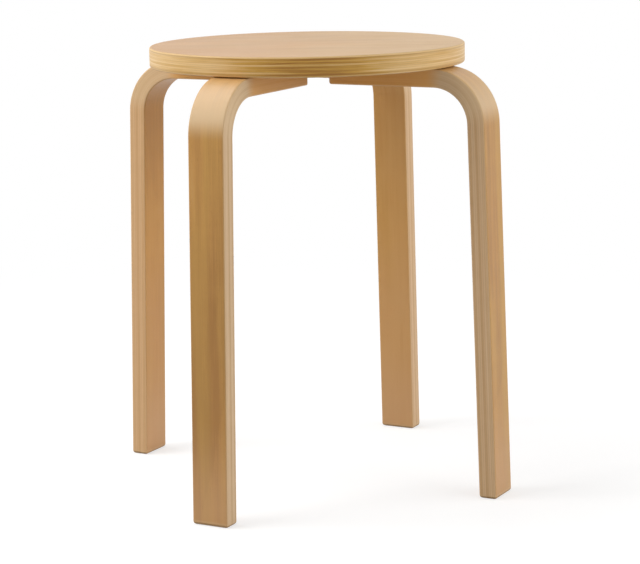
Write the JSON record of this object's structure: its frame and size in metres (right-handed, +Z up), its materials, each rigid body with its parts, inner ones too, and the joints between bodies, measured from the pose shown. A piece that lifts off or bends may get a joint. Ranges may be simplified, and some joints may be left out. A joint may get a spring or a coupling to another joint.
{
  "type": "stacking stool",
  "caption": "Round plywood seat bolted to legs of bent laminated veneer that stand outside its edge, so that like stools stack.",
  "frame": {"origin": "on the floor, under the middle of the seat", "axes": "+Z up, through the middle of the seat; the legs stand on the diagonals between X and Y, and -Y is taken as the front"},
  "size_m": [0.3316, 0.3316, 0.45],
  "materials": {
    "seat_plywood": "rotary-cut birch plywood under clear satin lacquer, plies showing on the rim",
    "leg_veneer": "bent laminated birch veneer under clear satin lacquer, glue lines showing on the sides",
    "zinc_plate": "bright zinc-plated steel",
    "insert_steel": "yellow-passivated zinc-plated steel"
  },
  "bodies": {
    "root": {"seat": "seat_plywood", "leg_front_left": "leg_veneer", "bolt_front_left_inner": "zinc_plate", "washer_front_left_inner": "zinc_plate", "insert_front_left_inner": "insert_steel", "bolt_front_left_outer": "zinc_plate", "washer_front_left_outer": "zinc_plate", "insert_front_left_outer": "insert_steel", "leg_front_right": "leg_veneer", "bolt_front_right_inner": "zinc_plate", "washer_front_right_inner": "zinc_plate", "insert_front_right_inner": "insert_steel", "bolt_front_right_outer": "zinc_plate", "washer_front_right_outer": "zinc_plate", "insert_front_right_outer": "insert_steel", "leg_rear_right": "leg_veneer", "bolt_rear_right_inner": "zinc_plate", "washer_rear_right_inner": "zinc_plate", "insert_rear_right_inner": "insert_steel", "bolt_rear_right_outer": "zinc_plate", "washer_rear_right_outer": "zinc_plate", "insert_rear_right_outer": "insert_steel", "leg_rear_left": "leg_veneer", "bolt_rear_left_inner": "zinc_plate", "washer_rear_left_inner": "zinc_plate", "insert_rear_left_inner": "insert_steel", "bolt_rear_left_outer": "zinc_plate", "washer_rear_left_outer": "zinc_plate", "insert_rear_left_outer": "insert_steel"}
  },
  "joints": []
}
